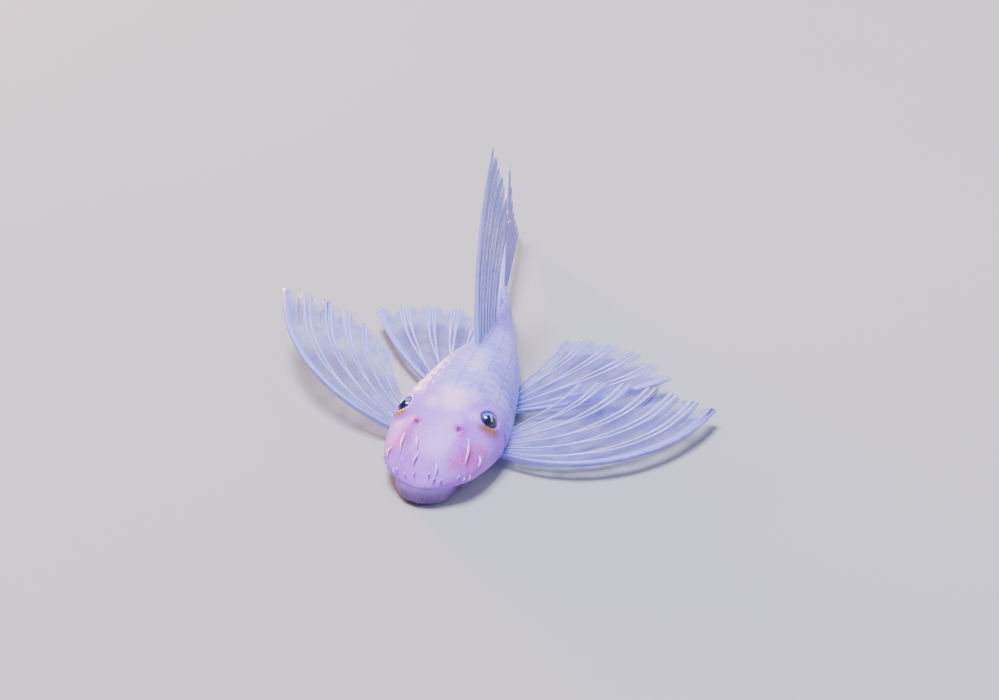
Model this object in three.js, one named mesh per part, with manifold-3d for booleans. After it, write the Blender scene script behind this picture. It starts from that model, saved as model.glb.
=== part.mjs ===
// A long-finned bristlenose pleco at rest on its mouth and belly, life-size, as separate closed pieces.
// Millimetres, +Z up, the head towards -Y and turned a little to -X, the fish's left side at +X.
import * as THREE from "three";
import { mergeVertices } from "three/addons/utils/BufferGeometryUtils.js";
import Module from "manifold-3d";

const wasm = await Module();
wasm.setup();

// Driving dimensions
const bodyLength = 50; // snout tip to the root of the tail fin
const seam = 0.3; // gap between neighbouring pieces
const plateRise = 0.18; // how far a plate's rear edge stands over the next one
const plateCount = 24; // plates in a row from the head to the tail fin
const headEnd = 0.3; // shares of the body length where the pieces part
const trunkEnd = 0.7;
const rayThickness = 0.85; // a fin's rays at the root, its membrane, and both at the tip
const webThickness = 0.5;
const tipThickness = 0.55;
const finishes = {
  head: { colour: [0.86, 0.74, 0.84], roughness: 0.45 },
  body: { colour: [0.8, 0.76, 0.9], roughness: 0.5 },
  lips: { colour: [0.58, 0.46, 0.6], roughness: 0.45 },
  fin: { colour: [0.78, 0.78, 0.93], roughness: 0.4 },
  eye: { colour: [0.04, 0.06, 0.15], roughness: 0.1 },
};

// Heading of the body's axis in degrees from +Y, at shares of the body length
const bendStations = [
  [0, 18.5],
  [0.26, 18.5],
  [0.44, 22.8],
  [0.62, 9.5],
  [0.8, 3.5],
  [1, 1.5],
  [1.6, 1],
];

// Shares of the body length: place, half width, back, widest level, underside
const bodyStations = [
  [0, 0.085, 0.078, 0.06, 0.048],
  [0.05, 0.109, 0.102, 0.062, 0.044],
  [0.12, 0.138, 0.134, 0.064, 0.036],
  [0.2, 0.156, 0.163, 0.064, 0.022],
  [0.28, 0.158, 0.185, 0.064, 0.006],
  [0.36, 0.144, 0.2, 0.064, -0.004],
  [0.45, 0.118, 0.212, 0.065, -0.004],
  [0.6, 0.076, 0.182, 0.068, 0.006],
  [0.75, 0.044, 0.146, 0.076, 0.028],
  [0.88, 0.029, 0.126, 0.081, 0.042],
  [0.95, 0.022, 0.122, 0.085, 0.047],
  [1, 0.013, 0.121, 0.086, 0.052],
];

// Cubic curve through the stations of one column, with slopes taken between neighbours
function curveThrough(stations, column, share) {
  const last = stations.length - 1;
  const slope = (k) => {
    const before = stations[Math.max(k - 1, 0)];
    const after = stations[Math.min(k + 1, last)];
    return (after[column] - before[column]) / (after[0] - before[0]);
  };
  let k = 0;
  while (k < last - 1 && share > stations[k + 1][0]) k += 1;
  const span = stations[k + 1][0] - stations[k][0];
  const t = (share - stations[k][0]) / span;
  const ease = t * t * (3 - 2 * t);
  const rise = t * (1 - t) * span * ((1 - t) * slope(k) - t * slope(k + 1));
  return stations[k][column] * (1 - ease) + stations[k + 1][column] * ease + rise;
}

const smooth = (t) => {
  const held = THREE.MathUtils.clamp(t, 0, 1);
  return held * held * (3 - 2 * held);
};
const mix = THREE.MathUtils.lerp;
const radians = THREE.MathUtils.degToRad;

// The axis is walked in short steps along its heading
const axisStep = 0.05;
const axisPoints = [new THREE.Vector3()];
const heading = (s) => radians(curveThrough(bendStations, 1, s / bodyLength));
for (let s = 0; s < 1.6 * bodyLength; s += axisStep) {
  const turn = heading(s + axisStep / 2);
  const step = new THREE.Vector3(Math.sin(turn), Math.cos(turn), 0).multiplyScalar(axisStep);
  axisPoints.push(axisPoints.at(-1).clone().add(step));
}

// Where the body is at s millimetres behind the snout tip, with its rearward and leftward directions
function bodyFrame(s) {
  const k = Math.min(Math.floor(s / axisStep), axisPoints.length - 2);
  const place = axisPoints[k].clone().lerp(axisPoints[k + 1], s / axisStep - k);
  const turn = heading(s);
  const back = new THREE.Vector3(Math.sin(turn), Math.cos(turn), 0);
  const left = new THREE.Vector3(Math.cos(turn), -Math.sin(turn), 0);
  return { place, back, left };
}

// The section closes towards the snout tip as a blunt rounded nose
const noseLength = 0.1 * bodyLength;
const noseShare = (s) => Math.sqrt(1 - Math.max(1 - s / noseLength, 0) ** 2.2);

// A point of the smooth skin: half a superellipse above the widest level and a flatter one below
function skinPoint(s, angle) {
  const share = s / bodyLength;
  const size = (column) => bodyLength * curveThrough(bodyStations, column, share);
  const nose = noseShare(s);
  const level = size(3);
  const c = Math.cos(angle);
  const h = Math.sin(angle);
  const flatness = h >= 0 ? 2.15 : mix(3.6, 2.2, smooth((share - 0.5) / 0.3));
  const bulge = (x) => Math.sign(x) * Math.abs(x) ** (2 / flatness);
  const height = (h >= 0 ? size(2) - level : level - size(4)) * nose;
  const { place, left } = bodyFrame(s);
  const point = place.clone().addScaledVector(left, size(1) * nose * bulge(c));
  return point.setZ(Math.max(level + height * bulge(h), 0));
}

// Outward direction of the skin, from its slopes along and around the body
function skinNormal(s, angle) {
  const ds = 0.05;
  const da = 0.01;
  const ahead = Math.max(s - ds, 0.001);
  const along = skinPoint(s + ds, angle).sub(skinPoint(ahead, angle));
  const around = skinPoint(s, angle + da).sub(skinPoint(s, angle - da));
  return along.cross(around).normalize();
}

const raisedPoint = (s, angle, rise) => skinPoint(s, angle).addScaledVector(skinNormal(s, angle), rise);

// A closed geometry from points and triangles, turned to face out if they face in
function closedGeometry(points, triangles) {
  let volume = 0;
  for (const [a, b, c] of triangles) {
    volume += points[a].dot(new THREE.Vector3().crossVectors(points[b], points[c]));
  }
  const order = volume < 0 ? triangles.map(([a, b, c]) => [a, c, b]) : triangles;
  const geometry = new THREE.BufferGeometry().setFromPoints(points);
  return geometry.setIndex(order.flat());
}

// Skin over rings with equal numbers of points, closed by a fan on a middle point at each end
function loft(rings) {
  const around = rings[0].length;
  const points = rings.flat();
  const triangles = [];
  for (let r = 0; r + 1 < rings.length; r += 1) {
    for (let k = 0; k < around; k += 1) {
      const a = r * around + k;
      const b = r * around + ((k + 1) % around);
      triangles.push([a, b, b + around], [a, b + around, a + around]);
    }
  }
  for (const [start, flip] of [
    [0, true],
    [(rings.length - 1) * around, false],
  ]) {
    const middle = new THREE.Vector3();
    for (let k = 0; k < around; k += 1) middle.addScaledVector(points[start + k], 1 / around);
    points.push(middle);
    for (let k = 0; k < around; k += 1) {
      const a = start + k;
      const b = start + ((k + 1) % around);
      triangles.push(flip ? [b, a, points.length - 1] : [a, b, points.length - 1]);
    }
  }
  return closedGeometry(points, triangles);
}

// Joining and cutting
function solidOf(geometry) {
  const bare = geometry.clone();
  bare.deleteAttribute("normal");
  bare.deleteAttribute("uv");
  const merged = mergeVertices(bare, 1e-4);
  const vertProperties = new Float32Array(merged.attributes.position.array);
  const triVerts = new Uint32Array(merged.index.array);
  return new wasm.Manifold(new wasm.Mesh({ numProp: 3, vertProperties, triVerts }));
}

function geometryOf(solid) {
  const bodies = solid.decompose();
  const largest = bodies.reduce((a, b) => (a.volume() > b.volume() ? a : b));
  const mesh = largest.getMesh();
  const geometry = new THREE.BufferGeometry();
  geometry.setAttribute("position", new THREE.BufferAttribute(mesh.vertProperties, 3));
  geometry.setIndex(new THREE.BufferAttribute(mesh.triVerts, 1));
  return geometry;
}

const evenAngles = (count) =>
  Array.from({ length: count }, (_, k) => (2 * Math.PI * k) / count - Math.PI / 2);

// The whole body grown by the seam and the plates' height, which trims the roots of the fins and the lips
function grownBody() {
  const angles = evenAngles(28);
  const rings = [];
  const ringCount = 30;
  for (let k = 0; k <= ringCount; k += 1) {
    const s = 0.02 + (bodyLength + seam / 2 - 0.02) * (k / ringCount) ** 1.25;
    const rise = seam + plateRise * smooth((s / bodyLength - headEnd) / 0.05 + 1);
    rings.push(angles.map((angle) => raisedPoint(s, angle, rise)));
  }
  return solidOf(loft(rings));
}

// Head
const orbitRise = 0.3;
const nostril = { at: 0.165, angle: 0.38, radius: 0.42 };
const marginBristles = 16;
// Long bristles on top of the snout: share of the body length, turn from the middle line, length
const longBristles = [
  [0.157, 0.635, 2.7],
  [0.136, -0.582, 2.3],
  [0.123, -0.287, 1.5],
  [0.08, -0.157, 1.4],
  [0.066, 0.25, 1.2],
  [0.135, 1.15, 1.2],
  [0.1, -0.95, 1.2],
];
const eye = { at: 0.24, out: 0.118, height: 0.14, radius: 1.45, sunk: 0.55 };

function eyeCentre(side) {
  const { place, left } = bodyFrame(eye.at * bodyLength);
  const surface = place.clone().addScaledVector(left, side * eye.out * bodyLength);
  surface.z = eye.height * bodyLength;
  const inward = new THREE.Vector3().copy(left).multiplyScalar(-side * 0.62);
  inward.z = -0.78;
  return surface.addScaledVector(inward, eye.sunk);
}

const sphere = (radius, centre, across, high) =>
  new THREE.SphereGeometry(radius, across, high).translate(centre.x, centre.y, centre.z);

// The brow swells gently over each eye
function headPoint(s, angle) {
  const point = skinPoint(s, angle);
  let rise = 0;
  for (const side of [1, -1]) {
    const near = point.distanceTo(eyeCentre(side)) / eye.radius;
    rise += orbitRise * smooth((2.1 - near) / 0.9);
  }
  return point.addScaledVector(skinNormal(s, angle), rise);
}

// Each nostril is a pit with a low flap of skin behind it
function nostrilPlace(side) {
  const angle = Math.PI / 2 - side * nostril.angle;
  const s = nostril.at * bodyLength;
  return { place: skinPoint(s, angle), normal: skinNormal(s, angle), back: bodyFrame(s).back };
}

// A bristle is a tapered spine on the snout, leaning forwards, with its root sunk in the skin
function bristle({ at, angle, length, radius, lean }) {
  const s = at * bodyLength;
  const normal = skinNormal(s, angle);
  const forwards = bodyFrame(s).back.negate();
  const direction = normal.clone().addScaledVector(forwards, lean).normalize();
  const sunk = 0.35;
  const cone = new THREE.CylinderGeometry(radius * 0.3, radius, length + sunk, 6);
  cone.translate(0, (length + sunk) / 2 - sunk, 0);
  cone.applyQuaternion(new THREE.Quaternion().setFromUnitVectors(new THREE.Vector3(0, 1, 0), direction));
  const root = skinPoint(s, angle);
  return solidOf(cone.translate(root.x, root.y, root.z));
}

// Repeatable random numbers between 0 and 1
let seed = 7;
function draw() {
  seed = (seed * 16807) % 2147483647;
  return seed / 2147483647;
}

// A row of short bristles follows the edge of the snout, and longer ones lie forwards on top of it
function allBristles() {
  const set = [];
  for (let k = 0; k < marginBristles; k += 1) {
    const across = (k + 0.5) / marginBristles - 0.5;
    const at = 0.022 + 0.3 * Math.abs(across) ** 2.2;
    const angle = Math.PI / 2 - Math.sign(across) * Math.min(3.1 * Math.abs(across) ** 0.8, 1.42);
    set.push({ at, angle, length: mix(0.4, 0.75, draw()), radius: 0.25, lean: 1.1 });
  }
  for (const [at, turn, length] of longBristles) {
    set.push({ at, angle: Math.PI / 2 - turn, length, radius: 0.32, lean: 7 });
  }
  return set;
}

function makeHead() {
  const ringCount = 22;
  const angles = evenAngles(44);
  const rings = [];
  const end = headEnd * bodyLength - seam / 2;
  for (let k = 0; k <= ringCount; k += 1) {
    const s = 0.05 + (end - 0.05) * (k / ringCount) ** 1.35;
    rings.push(angles.map((angle) => (k < ringCount ? headPoint(s, angle) : skinPoint(s, angle))));
  }
  let head = solidOf(loft(rings));
  for (const one of allBristles()) head = head.add(bristle(one));
  for (const side of [1, -1]) {
    head = head.subtract(solidOf(sphere(eye.radius + seam, eyeCentre(side), 16, 10)));
    const { place, normal, back } = nostrilPlace(side);
    const flap = new THREE.CylinderGeometry(0.12, 0.3, 0.9, 8).rotateX(Math.PI / 2).scale(1.5, 1, 1);
    const turn = new THREE.Matrix4().lookAt(normal, new THREE.Vector3(), back);
    flap.applyMatrix4(turn).translate(...place.clone().addScaledVector(back, nostril.radius).toArray());
    head = head.add(solidOf(flap));
    const pit = sphere(nostril.radius, place.clone().addScaledVector(normal, 0.1), 10, 8);
    head = head.subtract(solidOf(pit));
  }
  return geometryOf(head);
}

// Trunk and tail stalk. Five rows of plates run along each side, every plate rising to a rear edge that
// stands over the next one and is drawn out backwards in the middle of its row. The belly is bare.
const rowBorders = [-26, -4, 18, 41, 65, 90].map(radians);
const bellyColumns = 7;

function plateColumns() {
  const columns = [];
  for (let row = 0; row < rowBorders.length - 1; row += 1) {
    columns.push({ angle: rowBorders[row], crest: 0 });
    columns.push({ angle: (rowBorders[row] + rowBorders[row + 1]) / 2, crest: 1 });
  }
  const mirrored = columns.map(({ angle, crest }) => ({ angle: Math.PI - angle, crest })).reverse();
  const belly = [];
  for (let k = 1; k < bellyColumns; k += 1) {
    const angle = mix(Math.PI - rowBorders[0], 2 * Math.PI + rowBorders[0], k / bellyColumns);
    belly.push({ angle, crest: 0, bare: true });
  }
  return [...columns, { angle: Math.PI / 2, crest: 0 }, ...mirrored, ...belly];
}

function makeBodyLength(from, to) {
  const columns = plateColumns();
  const start = from * bodyLength + seam / 2;
  const end = to * bodyLength - seam / 2;
  const plates = Math.round(((end - start) * plateCount) / ((1 - headEnd) * bodyLength));
  const plateLength = (end - start) / plates;
  const rings = [];
  for (let plate = 0; plate < plates; plate += 1) {
    for (const [share, rise] of [
      [0, 0.15],
      [0.88, 1],
    ]) {
      const s = mix(start, end, (plate + share) / plates);
      const drawn = 0.4 * Math.min(plateLength, s - start, end - s);
      rings.push(
        columns.map(({ angle, crest, bare }) => {
          const height = bare ? 0 : plateRise * rise * mix(0.45, 1, crest);
          const point = raisedPoint(s + drawn * (crest - 0.5), angle, height);
          return point.setZ(Math.max(point.z, 0));
        }),
      );
    }
  }
  rings.push(columns.map(({ angle }) => skinPoint(end, angle)));
  return loft(rings);
}

// The round lips that the fish rests on, with the mouth hollowed into their flat underside
const lips = { at: 0.077, across: 4.2, along: 4.1, height: 3.2 };

function makeLips(cutter) {
  const { place, back, left } = bodyFrame(lips.at * bodyLength);
  const profile = [
    [0.86, 0],
    [0.97, 0.3],
    [1, 0.8],
    [1, 1.5],
    [0.97, 2.3],
    [0.92, lips.height],
  ];
  const angles = evenAngles(36);
  const rings = profile.map(([share, z]) =>
    angles.map((angle) => {
      const scallop = 1 + 0.018 * Math.cos(12 * angle);
      return place
        .clone()
        .addScaledVector(left, lips.across * share * scallop * Math.cos(angle))
        .addScaledVector(back, lips.along * share * scallop * Math.sin(angle))
        .setZ(z);
    }),
  );
  let disc = solidOf(loft(rings));
  for (const side of [1, -1]) {
    const barbel = new THREE.ConeGeometry(0.34, 1.9, 8).rotateZ((-side * Math.PI) / 2);
    barbel.translate(side * (lips.across + 0.2), lips.along * 0.25, 0.75);
    barbel.rotateZ(-heading(lips.at * bodyLength)).translate(place.x, place.y, 0);
    disc = disc.add(solidOf(barbel));
  }
  const mouth = new THREE.SphereGeometry(1, 20, 10).scale(2.3, 1.1, 0.9);
  mouth.rotateZ(-heading(lips.at * bodyLength)).translate(place.x, place.y, 0);
  return geometryOf(disc.subtract(solidOf(mouth)).subtract(cutter));
}

// Fins: a fan of rays from a straight root, each bending backwards and rising out of the fan's plane
function finPoint(fin, u, v, stretch = 1) {
  const reach = bodyLength * curveThrough(fin.reach, 1, v) * stretch * u;
  const angle = radians(curveThrough(fin.fan, 1, v) + (curveThrough(fin.fan, 2, v) * u) / 2);
  const root = fin.front.clone().lerp(fin.rear, v);
  const lift = curveThrough(fin.fan, 3, v) * reach + fin.arch * reach * (1 - u);
  return root
    .addScaledVector(fin.along, reach * Math.sin(angle))
    .addScaledVector(fin.out, reach * Math.cos(angle))
    .addScaledVector(fin.off, lift);
}

// Columns across a fin: the crest of every ray and the trough of the membrane between two rays.
// The leading spine of a fin is the thickest and has a side column of its own.
function rayColumns(fin) {
  const columns = [];
  for (let ray = 0; ray < fin.rays; ray += 1) {
    const spine = ray === 0 && fin.spine;
    const thickness = spine ? fin.spine : rayThickness;
    columns.push({ v: ray / (fin.rays - 1), thickness, stretch: 1 });
    if (spine) {
      columns[0].thickness = thickness * 0.6;
      columns.push({ v: 0.22 / (fin.rays - 1), thickness, stretch: 1 });
      columns.push({ v: 0.45 / (fin.rays - 1), thickness: thickness * 0.55, stretch: 0.99 });
    }
    if (ray < fin.rays - 1) {
      const v = (ray + (spine ? 0.7 : 0.5)) / (fin.rays - 1);
      columns.push({ v, thickness: webThickness, stretch: 1 - fin.ragged });
    }
  }
  return columns;
}

function faceNormal(fin, u, v) {
  const step = 0.01;
  const held = Math.max(u, 0.05);
  const alongRay = finPoint(fin, held + step, v).sub(finPoint(fin, held, v));
  const acrossRays = finPoint(fin, held, v + step).sub(finPoint(fin, held, v - step));
  return alongRay.cross(acrossRays).normalize();
}

// A fin is one thin closed slab, so its two faces share the same triangles, and the rays stand out of both
function makeFin(fin, cutter) {
  const columns = rayColumns(fin);
  const faces = [1, -1].map((face) =>
    Array.from({ length: fin.rows + 1 }, (_, row) =>
      columns.map(({ v, thickness, stretch }) => {
        const u = row / fin.rows;
        const taper = mix(thickness, Math.min(thickness, tipThickness), u ** 1.5);
        const shorter = mix(1, stretch, u ** 2);
        return finPoint(fin, u, v, shorter).addScaledVector(faceNormal(fin, u, v), (face * taper) / 2);
      }),
    ),
  );
  const across = columns.length;
  const half = (fin.rows + 1) * across;
  const points = faces.flat(2);
  const triangles = [];
  for (let row = 0; row < fin.rows; row += 1) {
    for (let k = 0; k + 1 < across; k += 1) {
      const a = row * across + k;
      const corners = [a, a + 1, a + across + 1, a + across];
      const [p, q, r, s] = k % 2 ? corners : [corners[1], corners[2], corners[3], corners[0]];
      triangles.push([p, q, r], [p, r, s]);
      triangles.push([p + half, r + half, q + half], [p + half, s + half, r + half]);
    }
  }
  const rim = [];
  for (let k = 0; k + 1 < across; k += 1) rim.push(k);
  for (let row = 0; row < fin.rows; row += 1) rim.push(row * across + across - 1);
  for (let k = across - 1; k > 0; k -= 1) rim.push(fin.rows * across + k);
  for (let row = fin.rows; row > 0; row -= 1) rim.push(row * across);
  rim.forEach((a, k) => {
    const b = rim[(k + 1) % rim.length];
    triangles.push([b, a, a + half], [b, a + half, b + half]);
  });
  return geometryOf(solidOf(closedGeometry(points, triangles)).subtract(cutter));
}

const up = new THREE.Vector3(0, 0, 1);

// A root point given by its share of the body length, its offset to the left and its height, in shares too
function rootPoint(share, leftShare, heightShare) {
  const { place, left } = bodyFrame(share * bodyLength);
  return place.clone().addScaledVector(left, leftShare * bodyLength).setZ(heightShare * bodyLength);
}

// Paired fins reach out to one side. fan holds the place across the fin, the start angle from straight out,
// the backward bend and the rise, for the leading spine first
function pairedFin(side, roots, reach, fan, arch, form) {
  const { back, left } = bodyFrame(roots[0][0] * bodyLength);
  const [front, rear] = roots.map(([share, leftShare, height]) => rootPoint(share, side * leftShare, height));
  const out = left.clone().multiplyScalar(side);
  return { front, rear, along: back, out, off: up, reach, fan, arch, ...form };
}

const pectoralRoots = [
  [0.25, 0.125, 0.03],
  [0.3, 0.125, 0.055],
];
const pelvicRoots = [
  [0.45, 0.085, 0.028],
  [0.51, 0.06, 0.026],
];

const pectoralForm = { rays: 7, spine: 1.5, ragged: 0.07, rows: 12 };
const pelvicForm = { rays: 6, spine: 1, ragged: 0.07, rows: 10 };

const fins = {
  pectoral_fin_left: pairedFin(
    1,
    pectoralRoots,
    [[0, 0.65], [0.5, 0.52], [1, 0.33]],
    [[0, -22, 112, 0.03], [0.5, 13, 69, 0.04], [1, 50, 28, 0.06]],
    0.05,
    pectoralForm,
  ),
  pectoral_fin_right: pairedFin(
    -1,
    pectoralRoots,
    [[0, 0.69], [0.5, 0.5], [1, 0.28]],
    [[0, 0.5, 73, 0.22], [0.5, 24, 47, 0.22], [1, 46, 20, 0.2]],
    0.05,
    pectoralForm,
  ),
  pelvic_fin_left: pairedFin(
    1,
    pelvicRoots,
    [[0, 0.5], [0.5, 0.46], [1, 0.36]],
    [[0, 24, 28, 0.05], [0.5, 50, 20, 0.05], [1, 76, 12, 0.04]],
    0.03,
    pelvicForm,
  ),
  pelvic_fin_right: pairedFin(
    -1,
    pelvicRoots,
    [[0, 0.5], [0.5, 0.46], [1, 0.36]],
    [[0, 26, 28, 0.08], [0.5, 52, 20, 0.07], [1, 78, 12, 0.05]],
    0.03,
    pelvicForm,
  ),
};

// Fins on the middle line stand in an upright plane that the fish leans to one side
function middleFin(at, roots, lean, tilt, reach, fan, arch, form) {
  const { back, left } = bodyFrame(at * bodyLength);
  const along = back.clone().addScaledVector(left, Math.tan(radians(lean))).normalize();
  const out = up.clone().addScaledVector(left, Math.tan(radians(tilt))).normalize();
  const off = new THREE.Vector3().crossVectors(along, out);
  const [front, rear] = roots;
  return { front, rear, along, out, off, reach, fan, arch, ...form };
}

fins.dorsal_fin = middleFin(
  0.55,
  [rootPoint(0.46, 0, 0.17), rootPoint(0.66, 0, 0.13)],
  -6.5,
  -3,
  [[0, 0.64], [0.5, 0.55], [1, 0.42]],
  [[0, 38, 16, 0], [0.5, 48, 14, 0], [1, 58, 12, 0]],
  -0.1,
  { rays: 8, spine: 1, ragged: 0.06, rows: 12 },
);
fins.adipose_fin = middleFin(
  0.84,
  [rootPoint(0.8, 0, 0.11), rootPoint(0.88, 0, 0.1)],
  0,
  0,
  [[0, 0.1], [1, 0.055]],
  [[0, 52, 16, 0], [1, 66, 10, 0]],
  0,
  { rays: 2, spine: 0.9, ragged: 0.2, rows: 4 },
);
fins.anal_fin = middleFin(
  0.72,
  [rootPoint(0.7, 0, 0.05), rootPoint(0.76, 0, 0.055)],
  0,
  0,
  [[0, 0.22], [0.5, 0.2], [1, 0.14]],
  [[0, 116, -40, 0], [0.5, 104, -30, 0], [1, 96, -16, 0]],
  0,
  { rays: 5, spine: 0.8, ragged: 0.1, rows: 6 },
);
fins.caudal_fin = middleFin(
  1,
  [rootPoint(0.985, 0, 0.118), rootPoint(0.985, 0, 0.056)],
  0,
  0,
  [[0, 0.55], [0.5, 0.5], [1, 0.54]],
  [[0, 76, -6, 0.02], [0.5, 88, -4, 0.05], [1, 95, -2, 0.08]],
  0,
  { rays: 14, spine: 0.9, ragged: 0.07, rows: 12 },
);

const pieces = {};
const cutter = grownBody();
pieces.head = makeHead();
pieces.trunk = makeBodyLength(headEnd, trunkEnd);
pieces.tail_stalk = makeBodyLength(trunkEnd, 1);
pieces.lips = makeLips(cutter);
for (const [name, fin] of Object.entries(fins)) pieces[name] = makeFin(fin, cutter);
for (const [name, side] of [["eye_left", 1], ["eye_right", -1]]) {
  pieces[name] = sphere(eye.radius, eyeCentre(side), 14, 10);
}

const finishOf = (name) => finishes[name.match(/head|lips|fin|eye/)?.[0] ?? "body"];

const pleco = new THREE.Group();
for (const [name, geometry] of Object.entries(pieces)) {
  const { colour, roughness } = finishOf(name);
  const color = new THREE.Color(...colour);
  const material = new THREE.MeshStandardMaterial({ color, roughness, metalness: 0 });
  const mesh = new THREE.Mesh(geometry, material);
  mesh.name = name;
  pleco.add(mesh);
}

// The frame's origin is the middle of the bounding box on the floor
const bounds = new THREE.Box3().setFromObject(pleco);
const middle = bounds.getCenter(new THREE.Vector3());
pleco.position.set(-middle.x, -middle.y, -bounds.min.z);

export default pleco;
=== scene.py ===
# A long-finned bristlenose pleco at rest, pale with dark eyes, its fins spread.
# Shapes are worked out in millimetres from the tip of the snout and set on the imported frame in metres.
import math
import bpy
import numpy as np
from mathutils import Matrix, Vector


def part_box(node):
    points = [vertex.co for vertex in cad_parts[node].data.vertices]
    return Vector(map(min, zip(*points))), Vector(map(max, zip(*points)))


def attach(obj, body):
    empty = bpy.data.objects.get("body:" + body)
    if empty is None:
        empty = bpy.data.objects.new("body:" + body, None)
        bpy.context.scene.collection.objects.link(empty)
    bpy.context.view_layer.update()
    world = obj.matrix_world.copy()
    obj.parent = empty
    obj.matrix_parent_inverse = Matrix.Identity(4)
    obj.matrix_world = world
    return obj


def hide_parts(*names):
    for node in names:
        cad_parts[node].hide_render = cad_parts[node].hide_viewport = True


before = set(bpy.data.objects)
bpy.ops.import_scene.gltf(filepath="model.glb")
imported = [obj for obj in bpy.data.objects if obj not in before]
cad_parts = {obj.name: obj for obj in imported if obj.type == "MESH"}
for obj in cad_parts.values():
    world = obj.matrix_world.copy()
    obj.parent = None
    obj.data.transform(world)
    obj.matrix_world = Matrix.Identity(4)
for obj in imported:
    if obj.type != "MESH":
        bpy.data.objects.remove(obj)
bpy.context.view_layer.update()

# driving sizes of the whole fish, in millimetres, degrees and shares of the body length
fish = {
    "bodyLength": 50.0,     # snout tip to the root of the tail fin
    "noseShare": 0.1,       # length of the rounded nose, as a share of the body
    "headShare": 0.3,       # where the head's shield gives way to rows of plates
    "bend": [(0, 18.5), (0.26, 18.5), (0.44, 22.8), (0.62, 9.5), (0.8, 3.5), (1, 1.5), (1.6, 1)],
    "sections": [           # place, half width, back, widest level, underside
        (0, 0.085, 0.078, 0.06, 0.048),
        (0.05, 0.109, 0.102, 0.062, 0.044),
        (0.12, 0.138, 0.134, 0.064, 0.036),
        (0.2, 0.156, 0.163, 0.064, 0.022),
        (0.28, 0.158, 0.185, 0.064, 0.006),
        (0.36, 0.144, 0.2, 0.064, -0.004),
        (0.45, 0.118, 0.212, 0.065, -0.004),
        (0.6, 0.076, 0.182, 0.068, 0.006),
        (0.75, 0.044, 0.146, 0.076, 0.028),
        (0.88, 0.029, 0.126, 0.081, 0.042),
        (0.95, 0.022, 0.122, 0.085, 0.047),
        (1, 0.013, 0.121, 0.086, 0.052),
    ],
}
bodyLength = fish["bodyLength"]


# smooth curve through stations: a cubic between each two, with slopes taken over both neighbours
def curveThrough(stations, column, place):
    table = np.array(stations, float)
    x, y = table[:, 0], table[:, column]
    low = np.maximum(np.arange(len(x)) - 1, 0)
    high = np.minimum(np.arange(len(x)) + 1, len(x) - 1)
    slope = (y[high] - y[low]) / (x[high] - x[low])
    place = np.asarray(place, float)
    k = np.clip(np.searchsorted(x, place, side="left") - 1, 0, len(x) - 2)
    span = x[k + 1] - x[k]
    t = (place - x[k]) / span
    ease = t * t * (3 - 2 * t)
    rise = t * (1 - t) * span * ((1 - t) * slope[k] - t * slope[k + 1])
    return y[k] * (1 - ease) + y[k + 1] * ease + rise


def smooth(t):              # 0 below 0, 1 above 1, and an even S between
    t = np.clip(t, 0, 1)
    return t * t * (3 - 2 * t)


def mix(a, b, t):
    return a + (b - a) * t


def unit(v):
    return v / np.maximum(np.linalg.norm(v, axis=-1, keepdims=True), 1e-12)


# the axis is the running sum of short steps along the heading
axisStep = 0.05
axisPlaces = np.arange(0, 1.6 * bodyLength, axisStep)
axisTurns = np.radians(curveThrough(fish["bend"], 1, (axisPlaces + axisStep / 2) / bodyLength))
axisX = np.concatenate([[0], np.cumsum(np.sin(axisTurns) * axisStep)])
axisY = np.concatenate([[0], np.cumsum(np.cos(axisTurns) * axisStep)])
axisPlaces = np.append(axisPlaces, axisPlaces[-1] + axisStep)


# place of the axis at s, with the directions towards the tail and towards the fish's left
def bodyFrame(s):
    s = np.asarray(s, float)
    turn = np.radians(curveThrough(fish["bend"], 1, s / bodyLength))
    place = np.stack([np.interp(s, axisPlaces, axisX), np.interp(s, axisPlaces, axisY), 0 * s], -1)
    back = np.stack([np.sin(turn), np.cos(turn), 0 * s], -1)
    left = np.stack([np.cos(turn), -np.sin(turn), 0 * s], -1)
    return place, back, left


# smooth skin: half width times cos(angle) and height times sin(angle), both bulged as a superellipse,
# shrinking to nothing over the rounded nose and never below the floor
def skinPoint(s, angle):
    s, angle = np.broadcast_arrays(np.asarray(s, float), np.asarray(angle, float))
    share = s / bodyLength
    columns = [bodyLength * curveThrough(fish["sections"], k, share) for k in (1, 2, 3, 4)]
    halfWidth, top, level, under = columns
    nose = np.sqrt(1 - np.maximum(1 - share / fish["noseShare"], 0) ** 2.2)
    c, h = np.cos(angle), np.sin(angle)
    flatness = np.where(h >= 0, 2.15, mix(3.6, 2.2, smooth((share - 0.5) / 0.3)))
    bulge = lambda x: np.sign(x) * np.abs(x) ** (2 / flatness)
    height = np.where(h >= 0, top - level, level - under) * nose
    place, _, left = bodyFrame(s)
    point = place + left * (halfWidth * nose * bulge(c))[..., None]
    point[..., 2] = np.maximum(level + height * bulge(h), 0)
    return point


def skinNormal(s, angle):   # cross of the slopes along and around the body
    ahead = np.maximum(np.asarray(s, float) - 0.05, 0.001)
    along = skinPoint(np.asarray(s, float) + 0.05, angle) - skinPoint(ahead, angle)
    around = skinPoint(s, np.asarray(angle) + 0.01) - skinPoint(s, np.asarray(angle) - 0.01)
    return unit(np.cross(along, around))


eye = {"at": 0.24, "out": 0.118, "height": 0.14, "radius": 1.45, "sunk": 0.55}


def eyeCentre(side):
    place, _, left = bodyFrame(eye["at"] * bodyLength)
    surface = place + left * side * eye["out"] * bodyLength
    surface[2] = eye["height"] * bodyLength
    return surface + (left * -side * 0.62 + np.array([0, 0, -0.78])) * eye["sunk"]


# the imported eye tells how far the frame's origin stands from the snout's point on the floor
packedEye = np.array([(a + b) / 2 for a, b in zip(*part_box("eye_left"))]) * 1000
toFrame = packedEye - eyeCentre(1)
toFrame[2] = 0


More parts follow.
